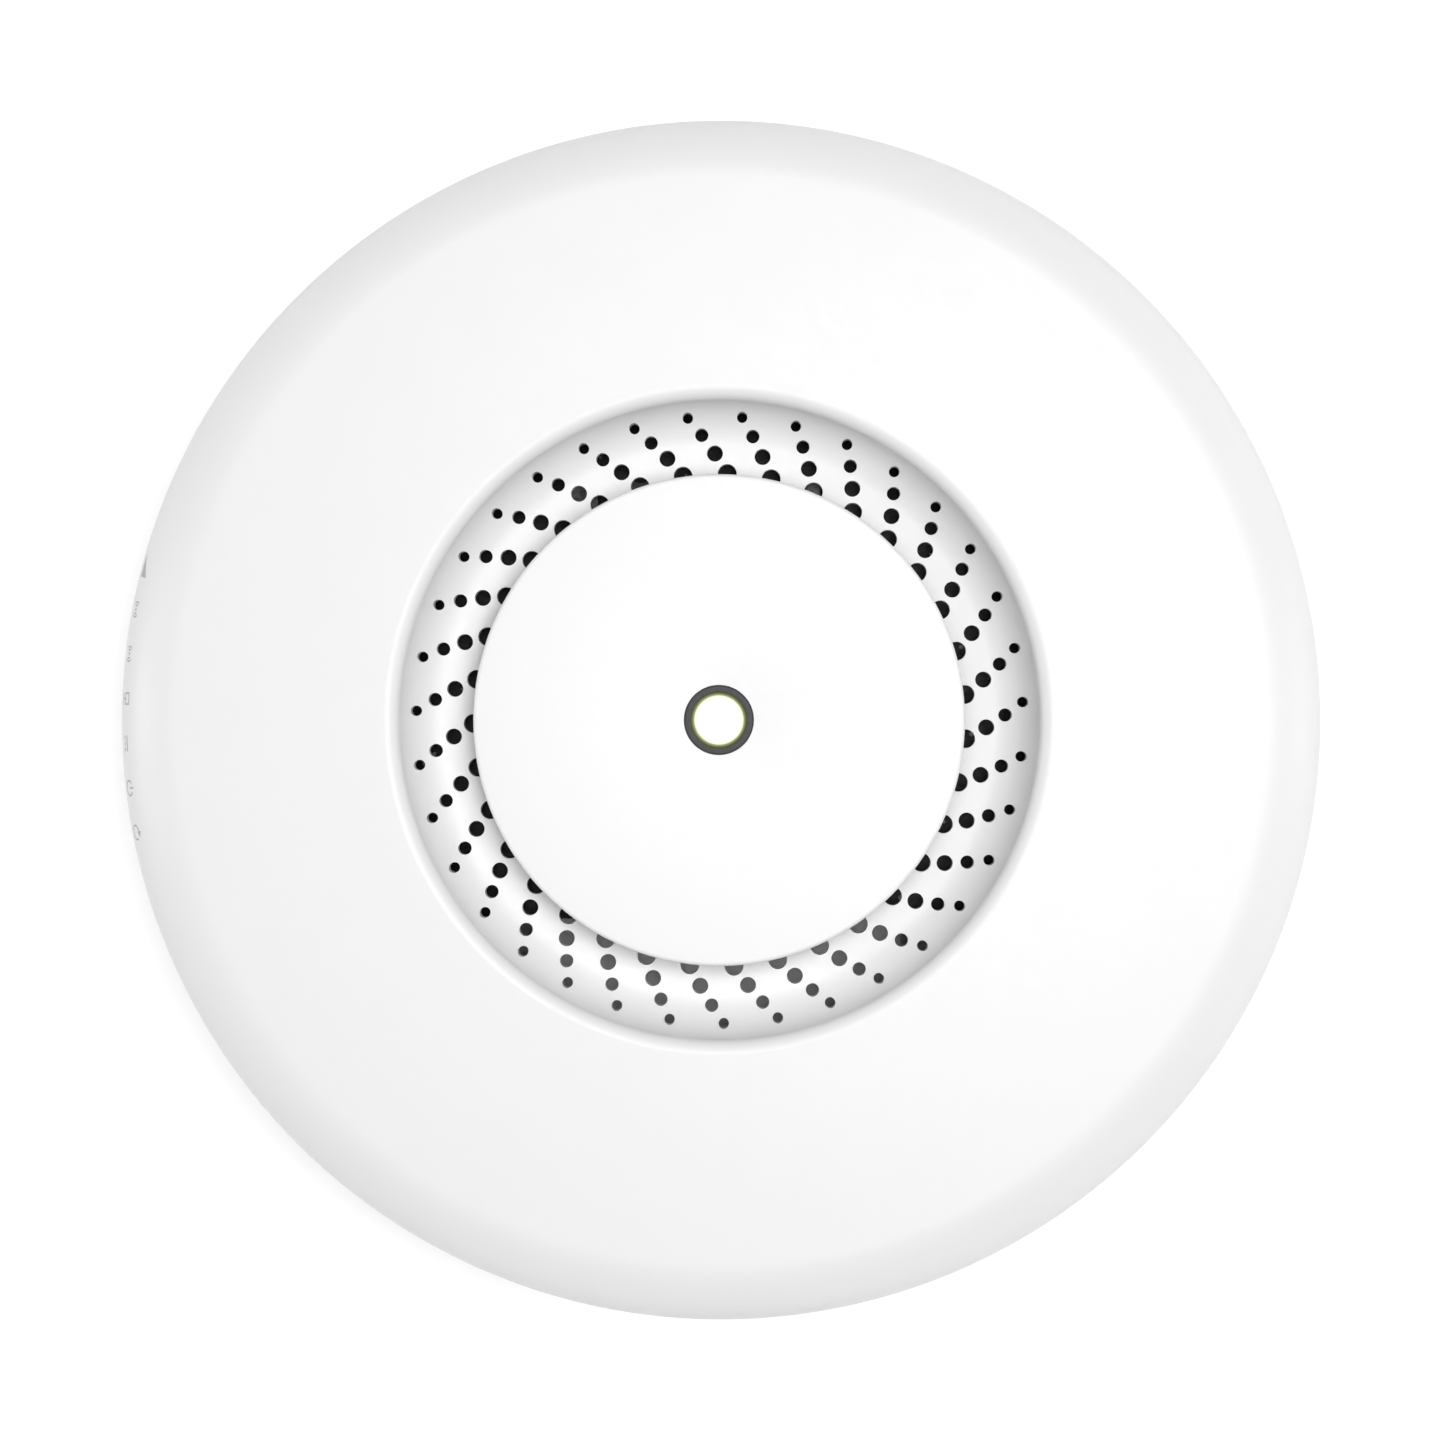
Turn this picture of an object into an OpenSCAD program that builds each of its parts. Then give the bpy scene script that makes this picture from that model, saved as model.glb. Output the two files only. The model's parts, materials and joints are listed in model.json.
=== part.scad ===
// Ceiling access point: a round case that twists on to a plate screwed to the ceiling.
// It lies on its back. z = 0 is the back of the mounting plate, +Z points out of the face,
// the sockets and the cable exit are on the -Y side, the status lights on the -X side.

/* [Case] */
// Diameter at the widest line
case_d = 191; // [190:0.5:192]
// Height from the back of the mounting plate to the front of the centre disc
case_h = 42; // [41.5:0.1:42.5]
// Height of the widest line
edge_z = 28.3; // [28:0.1:28.6]
// Radius of the rounding from the widest line up to the face
edge_r = 11; // [10:0.5:12]
// Radius of the slightly domed face
dome_r = 1000; // [900:50:1200]
// Height of the case's rear rim
rear_z = 0.8; // [0.6:0.1:1]
// Wall thickness of both shells
wall = 2.2; // [1.8:0.1:2.3]
// Height of the seam between the two shells
seam_z = 24; // [23.5:0.25:24.5]
// Width of the shadow gap at the seam
seam_gap = 0.5; // [0.3:0.1:0.8]

/* [Vent recess] */
// Radius where the rounded lip meets the face
lip_r = 52.2; // [51.5:0.1:53]
// Rounding of the lip
lip_round = 2.3; // [2.2:0.1:2.6]
// Steepest slope of the recess wall, in degrees
wall_slope = 76; // [75:1:77]
// Radius of the cove at the foot of that wall
cove_r = 7.8; // [7.7:0.1:7.9]
// Slope of the recess floor, in degrees
floor_slope = 8; // [7.5:0.5:8.5]
// Height of the flat seat under the centre disc
seat_z = 31.2; // [31:0.1:31.5]
// Holes in each vent row
vent_spokes = 35; // [30:1:36]
// Vent rows
vent_rows = 4; // [3:1:4]
// Radius of the outermost vent row
vent_r = 47.75; // [47.7:0.05:47.8]
// Diameter of the outermost vents
vent_d = 1.65; // [1.4:0.01:1.7]
// Growth of the vent diameter from row to row
vent_d_step = 0.44; // [0.3:0.01:0.45]

/* [Centre] */
// Radius of the centre disc
disc_r = 38.3; // [37.5:0.1:39]
// Thickness of the centre disc
disc_t = 2; // [1.8:0.1:2.2]
// Rounding of the disc's front edge
disc_round = 0.6; // [0.5:0.1:1]
// Outer radius of the dark ring round the lamp
bezel_r = 5.35; // [5:0.05:5.5]
// Gap between that ring and the disc
bezel_gap = 0.08; // [0.05:0.01:0.15]
// Radius of the lamp's lens
lens_r = 3.85; // [3.5:0.05:4]

/* [Status lights] */
// Direction of the middle light, in degrees from +X
lights_mid = 177.93; // [177:0.01:179]
// Angle between neighbouring lights
lights_pitch = 4.33; // [4.2:0.01:4.5]
// Height of the lights and the reset button
lights_z = 26.6; // [26.5:0.05:26.8]
// Travel of the reset button
button_travel = 0.7; // [0.5:0.1:0.7]

/* [Mounting plate] */
// Radius of the mounting plate
plate_r = 58; // [57:0.5:58.5]
// Thickness of the mounting plate
plate_t = 2.4; // [2:0.1:2.6]
// Radius of the circle of screw holes
screw_circle_r = 40; // [39:0.5:41]
// Diameter of the screw holes
screw_hole_d = 4.5; // [4:0.1:5]
// Radius of the circle of bayonet lugs
lug_circle_r = 48; // [47.5:0.1:48.5]
// Angle that the case turns to unlock, in degrees
twist = 12; // [10:1:12]

/* [Board and sockets] */
// Radius of the circuit board
board_r = 88; // [87:0.5:88.5]
// Height of the board's underside
board_z = 21.5; // [21.5:0.1:21.7]
// Where the board's straight edge lies along Y
board_edge_y = -32; // [-32.5:0.1:-31.5]
// Where the socket faces lie along Y
socket_y = -30; // [-30.2:0.1:-30]

/* [Hidden] */

$fn = 96;
big = 200;                                   // longer than anything here
eps = 0.01;
turn_fn = 240;                               // facets of the large turned shapes
dome_fn = 3600;

case_r = case_d / 2;
edge_c = case_r - edge_r;                    // centre of the edge rounding
bowl_r = edge_z - rear_z;                    // rounding from the widest line to the back
bowl_c = case_r - bowl_r;
dome_c = edge_z - sqrt(pow(dome_r - edge_r, 2) - pow(edge_c, 2));
lip_c = [lip_r, dome_c + sqrt(pow(dome_r - lip_round, 2) - pow(lip_r, 2))];
wall_normal = [-sin(wall_slope), cos(wall_slope)];
cove_c = lip_c + (lip_round + cove_r) * wall_normal;

recess_r = plate_r + 3;                      // recess in the back for the mounting plate
recess_z = plate_t + 3;
floor_z = recess_z + wall;                   // inside floor of the base

bay_x = 27;                                  // cable bay: half width, ends along Y, roof
bay_near = socket_y;
bay_far = -72;
bay_roof = 19.2;
bay_wall = 2;
exit_x = 8;                                  // cable exit through the side
exit_z = 9;

board_t = 1.6;
board_top = board_z + board_t;
disc_z = case_h - disc_t;

lug_angles = [95, 215, 335];
lug_half = 3;                                // half angle of a lug
lug_gap = 0.8;                               // free angle at each side of a lug
stem_w = 3.4;
head_w = 7;
head_z = floor_z + 0.4;
head_t = 1.4;
detent_angle = 155;

boss_at = 39.6;                              // case screws at (+-boss_at, +-boss_at)
boss_r = 3.6;
boss_z = recess_z + 5;
case_screw_r = 1.5;
board_screw_r = 1.2;
board_screw_points = [[-22.1, 35.3], [30, 58], [60, 22], [-60, 22], [60, -20], [-60, -20]];

jack_w = 16;
jack_h = 13.5;
jack_l = 21;
jack_x = [-16, 2];
shell_t = 0.4;
plug_w = 11.9;
plug_h = 8;
plug_l = 15.4;
plug_z = 10.6;
dc_x = 18;
dc_w = 9.4;
dc_h = 11;
dc_l = 14;
dc_bore_r = 3.2;
dc_bore_l = 11;
dc_bore_z = 15.5;

light_r = 0.75;
light_led_r = board_r - 1.5;                 // circle of the status light-emitting diodes
button_r = 1.5;
button_face = 95;
switch_tip = 87.4;
button_tail = switch_tip + button_travel + 0.1;

white = [0.95, 0.95, 0.95];
black = [0.1, 0.1, 0.1];
tin = [0.78, 0.79, 0.8];

function light_angle(i) = lights_mid + (i - 3) * lights_pitch;
function vent_row_r(row) = vent_r - 2.62 * row - 0.1 * row * row;
function vent_row_phase(row) = 3.4 - 2.3 * row - 0.095 * row * row;
function cove_point(t, slope) = cove_c + (cove_r + t) * [sin(slope), -cos(slope)];

module ring(outer, inner, height) {
    difference() {
        cylinder(r = outer, h = height, $fn = turn_fn);
        translate([0, 0, -eps]) cylinder(r = inner, h = height + 2 * eps, $fn = turn_fn);
    }
}

module block(low, high) {
    translate(low) cube(high - low);
}

module at_corners() {
    for (sx = [-1, 1], sy = [-1, 1])
        translate([sx * boss_at, sy * boss_at, 0]) children();
}

module at_lights(indices) {
    for (i = indices) rotate([0, 0, light_angle(i)]) children();
}

// ---- outlines of the two shells: radius across, height up, t = depth below the surface ----

// The rounded back of the case, up to its widest line
module bowl(t) {
    intersection() {
        translate([bowl_c, edge_z]) circle(r = bowl_r - t, $fn = turn_fn);
        square([big, edge_z]);
    }
    translate([0, rear_z + t]) square([bowl_c, bowl_r - t]);
}

// The air above the vent recess: flat seat, sloping floor, cove, and rounded lip
module recess(t) {
    foot = cove_point(t, floor_slope);
    top = lip_r * (dome_r - t) / (dome_r - lip_round);
    seat_r = foot.x - (foot.y - seat_z + t) / tan(floor_slope);
    polygon([[0, seat_z - t], [seat_r, seat_z - t], foot, cove_c, [cove_c.x, big], [0, big]]);
    translate(cove_c) circle(r = cove_r + t);
    difference() {
        polygon([cove_c, cove_point(t, wall_slope), lip_c + [0, -eps], [top, lip_c.y],
            [top, big], [cove_c.x, big]]);
        translate(lip_c) circle(r = lip_round - t);
    }
}

// The face: dome, edge rounding and recess
module face(t) {
    difference() {
        union() {
            intersection() {
                translate([0, dome_c]) circle(r = dome_r - t, $fn = dome_fn);
                translate([0, edge_z])
                    square([edge_c * (dome_r - t) / (dome_r - edge_r), big]);
            }
            intersection() {
                translate([edge_c, edge_z]) circle(r = edge_r - t, $fn = turn_fn);
                translate([0, edge_z]) square([big, big]);
            }
            bowl(t);
        }
        recess(t);
    }
}

module cover_outline() {
    intersection() {
        difference() {
            face(0);
            face(wall);
        }
        translate([0, seam_z + seam_gap / 2]) square([big, big]);
    }
}

module base_outline() {
    difference() {
        intersection() {
            bowl(0);
            square([big, seam_z - seam_gap / 2]);
        }
        difference() {
            bowl(wall);
            square([recess_r + wall, floor_z]);
        }
        square([recess_r, recess_z]);
    }
}

// ---- case ----

module top_cover() {
    color(white) difference() {
        union() {
            rotate_extrude($fn = turn_fn) cover_outline();
            at_corners() translate([0, 0, boss_z]) cylinder(r = boss_r, h = 40 - boss_z);
        }
        cylinder(r = 12, h = case_h);
        vents();
        at_lights([0:5]) translate([button_tail, 0, lights_z]) rotate([0, 90, 0])
            cylinder(r = light_r + 0.05, h = 10);
        at_lights([6]) translate([button_tail, 0, lights_z]) rotate([0, 90, 0])
            cylinder(r = button_r + 0.25, h = 10);
        at_corners() translate([0, 0, boss_z - eps]) cylinder(r = case_screw_r, h = 12);
    }
}

// Each row is turned a little further than the one outside it, so the vents curl inwards
module vents() {
    for (row = [0:vent_rows - 1], spoke = [0:vent_spokes - 1])
        rotate([0, 0, spoke * 360 / vent_spokes + vent_row_phase(row)])
            translate([vent_row_r(row), 0, seat_z - wall])
                cylinder(d = vent_d + row * vent_d_step, h = case_h, $fn = 24);
}

module base_shell() {
    color(white) difference() {
        union() {
            rotate_extrude($fn = turn_fn) base_outline();
            base_tongue();
            intersection() {
                rotate_extrude($fn = turn_fn) intersection() {
                    bowl(0);
                    square([big, bay_roof + bay_wall]);
                }
                bay_walls();
            }
            for (p = board_screw_points) translate([p.x, p.y, recess_z])
                cylinder(r = 3.2, h = board_z - recess_z);
            at_corners() translate([0, 0, recess_z]) cylinder(r = 5, h = boss_z - recess_z);
        }
        translate([0, 0, -1]) cylinder(r = recess_r, h = recess_z + 1, $fn = turn_fn);
        block([-bay_x, bay_far, -1], [bay_x, bay_near, bay_roof]);
        block([-exit_x, -big, -1], [exit_x, bay_far + eps, exit_z]);
        socket_windows();
        twist_slots();
        rear_vents();
        for (p = board_screw_points) translate([p.x, p.y, board_z - 10])
            cylinder(r = board_screw_r, h = 10 + eps);
        at_corners() translate([0, 0, recess_z - eps]) {
            cylinder(r = 3.2, h = 2.4 + eps);
            cylinder(r = 1.7, h = 6);
        }
    }
}

// Upstanding tongue that centres the cover, left out behind the status lights
module base_tongue() {
    difference() {
        translate([0, 0, seam_z - 3]) ring(92.6, 91, 4.2);
        rotate([0, 0, light_angle(0) - 2])
            rotate_extrude(angle = light_angle(6) - light_angle(0) + 4, $fn = turn_fn)
                translate([90, seam_z - seam_gap / 2]) square([4, 6]);
    }
}

module bay_walls() {
    block([-bay_x - bay_wall, bay_far - bay_wall, 0],
        [bay_x + bay_wall, bay_near + bay_wall, bay_roof + bay_wall]);
    block([-exit_x - bay_wall, -case_r, 0], [exit_x + bay_wall, bay_far, exit_z + bay_wall]);
}

module socket_windows() {
    gap = 0.3;
    for (x = jack_x)
        block([x - jack_w / 2 - gap, bay_near - eps, floor_z],
            [x + jack_w / 2 + gap, bay_near + bay_wall + eps, big]);
    block([dc_x - dc_w / 2 - gap, bay_near - eps, board_z - dc_h - gap],
        [dc_x + dc_w / 2 + gap, bay_near + bay_wall + eps, big]);
}

// Keyhole slots: the wide end lets a lug's head in, the narrow stretch holds it
module twist_slots() {
    for (a = lug_angles) {
        rotate([0, 0, a - twist - lug_half - lug_gap])
            rotate_extrude(angle = twist + 2 * (lug_half + lug_gap), $fn = turn_fn)
                translate([lug_circle_r - stem_w / 2 - 0.5, recess_z - 1])
                    square([stem_w + 1, wall + 2]);
        rotate([0, 0, a - twist - lug_half - lug_gap])
            rotate_extrude(angle = 2 * (lug_half + lug_gap), $fn = turn_fn)
                translate([lug_circle_r - head_w / 2 - 0.5, recess_z - 1])
                    square([head_w + 1, wall + 2]);
    }
}

// Air inlet slots in the back, clear of the cable bay
module rear_vents() {
    pitch = 360 / vent_spokes;
    for (i = [-5:22])
        rotate([0, 0, i * pitch + 2.5]) block([70, -0.9, -1], [79, 0.9, 8]);
}

module centre_disc() {
    color(white) {
        difference() {
            union() {
                rotate_extrude($fn = turn_fn) {
                    translate([0, disc_z]) square([disc_r, disc_t - disc_round]);
                    translate([0, disc_z]) square([disc_r - disc_round, disc_t]);
                    translate([disc_r - disc_round, case_h - disc_round]) circle(r = disc_round);
                }
                translate([0, 0, seat_z]) cylinder(r = 15, h = disc_z - seat_z + eps);
            }
            translate([0, 0, seat_z - 1]) cylinder(r = 13, h = disc_z - seat_z + 1);
            translate([0, 0, disc_z - 1]) cylinder(r = bezel_r + bezel_gap, h = disc_t + 2);
        }
        for (a = [30, 150, 270]) rotate([0, 0, a - 12]) snap_leg();
    }
}

// Leg of the disc that hooks under the edge of the cover's centre hole
module snap_leg() {
    under = seat_z - wall - 0.1;
    rotate_extrude(angle = 24) polygon([[10.4, under - 1.6], [11.6, under - 1.6], [12.8, under],
        [11.8, under], [11.8, seat_z + 1.2], [13.2, seat_z + 1.2], [13.2, seat_z + 2.4],
        [10.4, seat_z + 2.4]]);
}

module led_bezel() {
    color([0.3, 0.3, 0.3]) rotate_extrude() polygon([[lens_r + 0.03, 38], [bezel_r + 2.15, 38],
        [bezel_r + 2.15, disc_z], [bezel_r, disc_z], [bezel_r, case_h - 0.15],
        [bezel_r - 0.15, case_h], [lens_r + 0.45, case_h], [lens_r + 0.03, case_h - 0.6]]);
}

module led_lens() {
    color([0.99, 1, 0.93]) rotate_extrude() intersection() {
        translate([0, 38.6]) square([lens_r, 4]);
        translate([0, case_h - 0.3 - 16]) circle(r = 16, $fn = turn_fn);
    }
}

module centre_light_guide() {
    color([0.9, 0.95, 0.95, 0.6]) {
        translate([0, 0, board_top + 1.3]) cylinder(r = 2.4, h = 38.2 - board_top - 1.3);
        translate([0, 0, 37.2]) cylinder(r = bezel_r + 2.15, h = 0.8);
    }
}

module side_light_guide() {
    color([0.9, 0.95, 0.95, 0.6]) {
        rotate([0, 0, light_angle(0) - 1])
            rotate_extrude(angle = light_angle(5) - light_angle(0) + 2, $fn = turn_fn)
                translate([light_led_r - 0.9, lights_z - 0.7]) square([1.8, 1.4]);
        at_lights([0:5]) {
            translate([light_led_r, 0, lights_z]) rotate([0, 90, 0])
                cylinder(r = light_r, h = 95.2 - light_led_r, $fn = 24);
            translate([light_led_r, 0, board_top + 1]) cylinder(r = light_r, h = 2.6, $fn = 24);
        }
        for (i = [0.5, 4.5]) rotate([0, 0, light_angle(i)])
            translate([light_led_r, 0, board_top]) cylinder(r = 0.6, h = 3.4, $fn = 24);
    }
}

module reset_button() {
    color(white) at_lights([6]) translate([0, 0, lights_z]) rotate([0, 90, 0]) {
        translate([0, 0, button_tail]) cylinder(r = button_r, h = button_face - button_tail);
        translate([0, 0, 92]) cylinder(r = 2.2, h = 0.9);
    }
}

module rating_label() {
    color([0.88, 0.88, 0.86]) block([-20, 18, recess_z - 0.15], [20, 38, recess_z]);
}

// ---- mounting plate ----

module mounting_plate() {
    color([0.9, 0.9, 0.9]) difference() {
        union() {
            cylinder(r = plate_r, h = plate_t, $fn = turn_fn);
            ring(plate_r, plate_r - 2, plate_t + 2);
            for (a = lug_angles) rotate([0, 0, a - lug_half]) lug();
            rotate([0, 0, detent_angle]) translate([48, 0, plate_t - eps])
                cylinder(r1 = 2, r2 = 1, h = 2.8);
        }
        cable_opening();
        for (a = [45:90:315]) rotate([0, 0, a]) translate([screw_circle_r, 0, -1])
            cylinder(d = screw_hole_d, h = plate_t + 2);
        rotate([0, 0, detent_angle]) detent_slot();
    }
}

module lug() {
    stem = stem_w / 2;
    head = head_w / 2;
    rotate_extrude(angle = 2 * lug_half, $fn = turn_fn) translate([lug_circle_r, 0])
        polygon([[-stem, plate_t - eps], [stem, plate_t - eps], [stem, head_z], [head, head_z],
            [head, head_z + head_t], [-head, head_z + head_t], [-head, head_z], [-stem, head_z]]);
}

// Rectangle with round corners under the cable bay
module cable_opening() {
    corner = 4;
    translate([0, 0, -1]) linear_extrude(plate_t + 2) {
        translate([-20, -52 + corner]) square([40, 28 - 2 * corner]);
        translate([-20 + corner, -52]) square([40 - 2 * corner, 28]);
        for (x = [-20 + corner, 20 - corner], y = [-52 + corner, -24 - corner])
            translate([x, y]) circle(r = corner);
    }
}

// U-shaped cut that leaves a springy finger under the detent bump
module detent_slot() {
    translate([0, 0, -1]) linear_extrude(plate_t + 2) difference() {
        translate([32, -5.2]) square([21, 10.4]);
        translate([31, -4]) square([20.8, 8]);
    }
}

// ---- circuit board ----

module main_board() {
    color([0.06, 0.09, 0.08]) difference() {
        translate([0, 0, board_z]) cylinder(r = board_r, h = board_t, $fn = turn_fn);
        block([-big, -big, board_z - 1], [big, board_edge_y, board_top + 1]);
        for (p = board_screw_points) translate([p.x, p.y, board_z - 1])
            cylinder(r = board_screw_r + 0.25, h = board_t + 2);
        at_corners() translate([0, 0, board_z - 1]) cylinder(r = boss_r + 0.6, h = board_t + 2);
    }
}

// A flat package lying on the board's top
module chip(at, w, d, h) {
    block([at.x - w / 2, at.y - d / 2, board_top], [at.x + w / 2, at.y + d / 2, board_top + h]);
}

module processor() { color(black) chip([0, 24], 15, 15, 1.2); }

module memory_chips() { color(black) for (s = [-1, 1]) chip([s * 27, 12], 9, 12, 1); }

module radio_chips() { color(black) for (s = [-1, 1]) chip([s * 20, -10], 9, 9, 0.9); }

module flash_chip() { color(black) chip([0, -20], 6, 5, 1.2); }

module shield_frames() {
    color(tin) for (s = [-1, 1]) difference() {
        chip([s * 20, -10], 20, 16, 2);
        translate([0, 0, -0.5]) chip([s * 20, -10], 19.2, 15.2, 3);
    }
}

module shield_lids() {
    color(tin) for (s = [-1, 1]) translate([0, 0, 2]) chip([s * 20, -10], 20, 16, 0.3);
}

module thermal_pad() { color([0.55, 0.6, 0.7]) translate([0, 0, 1.2]) chip([0, 24], 15, 15, 0.6); }

module heatsink() {
    color(black) translate([0, 0, 1.8]) difference() {
        chip([0, 26], 32, 24, 3.5);
        for (i = [-4:4]) translate([0, 0, 1.2]) chip([i * 3.2, 26], 2, 26, 3);
    }
}

// Bent sheet strip over the board: a raised plate, a grounded end and a feed leg
module strip_antenna(angle, length, depth, height) {
    sheet = 0.5;
    rotate([0, 0, angle]) translate([74, -length / 2, board_top]) {
        translate([-depth / 2, 0, height - sheet]) cube([depth, length, sheet]);
        translate([-depth / 2, 0, 0]) cube([depth, sheet, height]);
        translate([-1, 5, 0]) cube([2, sheet, height]);
    }
}

module antennas_2ghz() { color(tin) for (a = [35, 145]) strip_antenna(a, 30, 9, 10); }

module antennas_5ghz() { color(tin) for (a = [80, 100]) strip_antenna(a, 14, 8, 6.5); }

module centre_led() { color([0.95, 0.95, 0.85]) chip([0, 0], 3.2, 2.8, 1.1); }

module side_leds() {
    color([0.9, 0.9, 0.7]) at_lights([0:5])
        block([light_led_r - 0.4, -0.8, board_top], [light_led_r + 0.4, 0.8, board_top + 0.8]);
}

module reset_switch() {
    color([0.2, 0.2, 0.2]) at_lights([6]) {
        block([switch_tip - 5, -2.6, board_top], [switch_tip - 1, 2.6, board_top + 5.4]);
        translate([switch_tip - 1, 0, lights_z]) rotate([0, 90, 0]) cylinder(r = 0.9, h = 1);
    }
}

// ---- sockets and parts under the board ----

module ethernet_shell(x) {
    color(tin) difference() {
        block([x - jack_w / 2, socket_y, board_z - jack_h],
            [x + jack_w / 2, socket_y + jack_l, board_z]);
        block([x - jack_w / 2 + shell_t, socket_y - 1, board_z - jack_h + shell_t],
            [x + jack_w / 2 - shell_t, socket_y + jack_l - shell_t, board_z - shell_t]);
    }
}

module ethernet_insert(x) {
    color([0.12, 0.12, 0.12]) difference() {
        block([x - jack_w / 2 + shell_t, socket_y + 0.2, board_z - jack_h + shell_t],
            [x + jack_w / 2 - shell_t, socket_y + jack_l - shell_t, board_z - shell_t]);
        block([x - plug_w / 2, socket_y - 1, plug_z],
            [x + plug_w / 2, socket_y + plug_l, plug_z + plug_h]);
        block([x - 3.2, socket_y - 1, plug_z - 1.5], [x + 3.2, socket_y + plug_l, plug_z + 1]);
    }
}

module ethernet_contacts(x) {
    top = plug_z + plug_h;
    color([0.85, 0.7, 0.3]) for (i = [0:7]) translate([x + (i - 3.5) * 1.02, 0, 0])
        block([-0.2, socket_y + 2, top - 0.6], [0.2, socket_y + plug_l - 1, top]);
}

module ethernet_shell_1() { ethernet_shell(jack_x[0]); }
module ethernet_shell_2() { ethernet_shell(jack_x[1]); }
module ethernet_insert_1() { ethernet_insert(jack_x[0]); }
module ethernet_insert_2() { ethernet_insert(jack_x[1]); }
module ethernet_contacts_1() { ethernet_contacts(jack_x[0]); }
module ethernet_contacts_2() { ethernet_contacts(jack_x[1]); }

module dc_jack_body() {
    color([0.12, 0.12, 0.12]) difference() {
        block([dc_x - dc_w / 2, socket_y, board_z - dc_h],
            [dc_x + dc_w / 2, socket_y + dc_l, board_z]);
        translate([dc_x, socket_y - eps, dc_bore_z]) rotate([-90, 0, 0])
            cylinder(r = dc_bore_r, h = dc_bore_l + eps);
    }
}

module dc_jack_pin() {
    color(tin) translate([dc_x, socket_y + 1.5, dc_bore_z]) rotate([-90, 0, 0])
        cylinder(r = 1.05, h = dc_bore_l - 1.5, $fn = 32);
}

// A part hanging under the board
module hung(at, w, d, h) {
    block([at.x - w / 2, at.y - d / 2, board_z - h], [at.x + w / 2, at.y + d / 2, board_z]);
}

module lan_transformers() { color(black) for (x = jack_x) hung([x, -2], 14, 9, 6); }

module power_inductors() {
    color([0.25, 0.25, 0.27]) for (p = [[34, -4], [34, 9], [20, 4]]) hung(p, 10, 10, 5);
}

module capacitors() {
    color([0.15, 0.15, 0.4]) for (p = [[32, -19], [-34, -14], [-34, -3], [47, 4]])
        translate([p.x, p.y, board_z - 11]) cylinder(r = 4, h = 11);
}

// ---- fasteners ----

module board_screws() {
    color(tin) for (p = board_screw_points) translate([p.x, p.y, board_top]) {
        difference() {
            cylinder(r = 2.5, h = 1.7);
            for (a = [0, 90]) rotate([0, 0, a]) block([-1.5, -0.3, 0.8], [1.5, 0.3, 2]);
        }
        translate([0, 0, -9]) cylinder(r = board_screw_r, h = 9 + eps);
    }
}

module case_screws() {
    color(tin) at_corners() translate([0, 0, recess_z]) {
        difference() {
            translate([0, 0, 0.4]) cylinder(r = 2.8, h = 2);
            for (a = [0, 90]) rotate([0, 0, a]) block([-1.7, -0.35, 0], [1.7, 0.35, 1.4]);
        }
        translate([0, 0, 2.4 - eps]) cylinder(r = case_screw_r, h = 10);
    }
}

top_cover();
centre_disc();
led_bezel();
led_lens();
centre_light_guide();
base_shell();
mounting_plate();
rating_label();
reset_button();
side_light_guide();
main_board();
processor();
memory_chips();
radio_chips();
flash_chip();
shield_frames();
shield_lids();
thermal_pad();
heatsink();
antennas_2ghz();
antennas_5ghz();
ethernet_shell_1();
ethernet_shell_2();
ethernet_insert_1();
ethernet_insert_2();
ethernet_contacts_1();
ethernet_contacts_2();
dc_jack_body();
dc_jack_pin();
lan_transformers();
power_inductors();
capacitors();
reset_switch();
centre_led();
side_leds();
board_screws();
case_screws();
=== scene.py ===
import json
import math

import bmesh
import bpy
from mathutils import Matrix, Vector


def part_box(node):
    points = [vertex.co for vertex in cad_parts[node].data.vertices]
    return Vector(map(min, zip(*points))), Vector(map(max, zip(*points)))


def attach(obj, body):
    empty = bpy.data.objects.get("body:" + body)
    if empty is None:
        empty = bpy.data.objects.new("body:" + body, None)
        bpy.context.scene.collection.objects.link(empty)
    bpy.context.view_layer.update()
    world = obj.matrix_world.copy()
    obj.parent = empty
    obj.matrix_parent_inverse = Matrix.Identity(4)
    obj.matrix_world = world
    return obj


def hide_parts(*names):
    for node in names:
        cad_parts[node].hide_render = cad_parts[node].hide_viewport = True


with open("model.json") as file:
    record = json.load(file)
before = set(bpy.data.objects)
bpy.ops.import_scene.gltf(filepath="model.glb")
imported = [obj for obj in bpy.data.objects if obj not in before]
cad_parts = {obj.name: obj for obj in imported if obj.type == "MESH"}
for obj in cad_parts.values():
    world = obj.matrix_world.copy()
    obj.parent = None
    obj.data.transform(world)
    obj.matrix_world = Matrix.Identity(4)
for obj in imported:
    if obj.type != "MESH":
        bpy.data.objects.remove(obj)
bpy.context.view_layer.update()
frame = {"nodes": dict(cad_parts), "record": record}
nodes = frame["nodes"]
record = frame["record"]

# The frame is in metres. Sizes below are in millimetres, and MM turns them into metres.
MM = 0.001


def high_corner(node):
    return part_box(node)[1] / MM


# ---- dimensions, mm ---------------------------------------------------------------------------

CASE_H = high_corner("centre_disc").z
CASE_R = high_corner("top_cover").x
DISC_R = high_corner("centre_disc").x
LENS_R = high_corner("led_lens").x
FLANGE_R = high_corner("led_bezel").x

# Outline of the case: height of its widest line, roundings, domed face
EDGE_Z = 28.3
EDGE_R = 11.0
DOME_R = 1000.0
REAR_Z = 0.8
WALL = 2.2
SEAM_TOP = 24.25
SEAM_CHAMFER = 0.2

# Vent recess: lip, steep wall, cove, sloping floor and flat seat under the centre disc
LIP_R = 52.2
LIP_ROUND = 2.3
WALL_SLOPE = 76.0
COVE_R = 7.8
FLOOR_SLOPE = 8.0
SEAT_Z = 31.2
HUB_HOLE_R = 12.0

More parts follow.
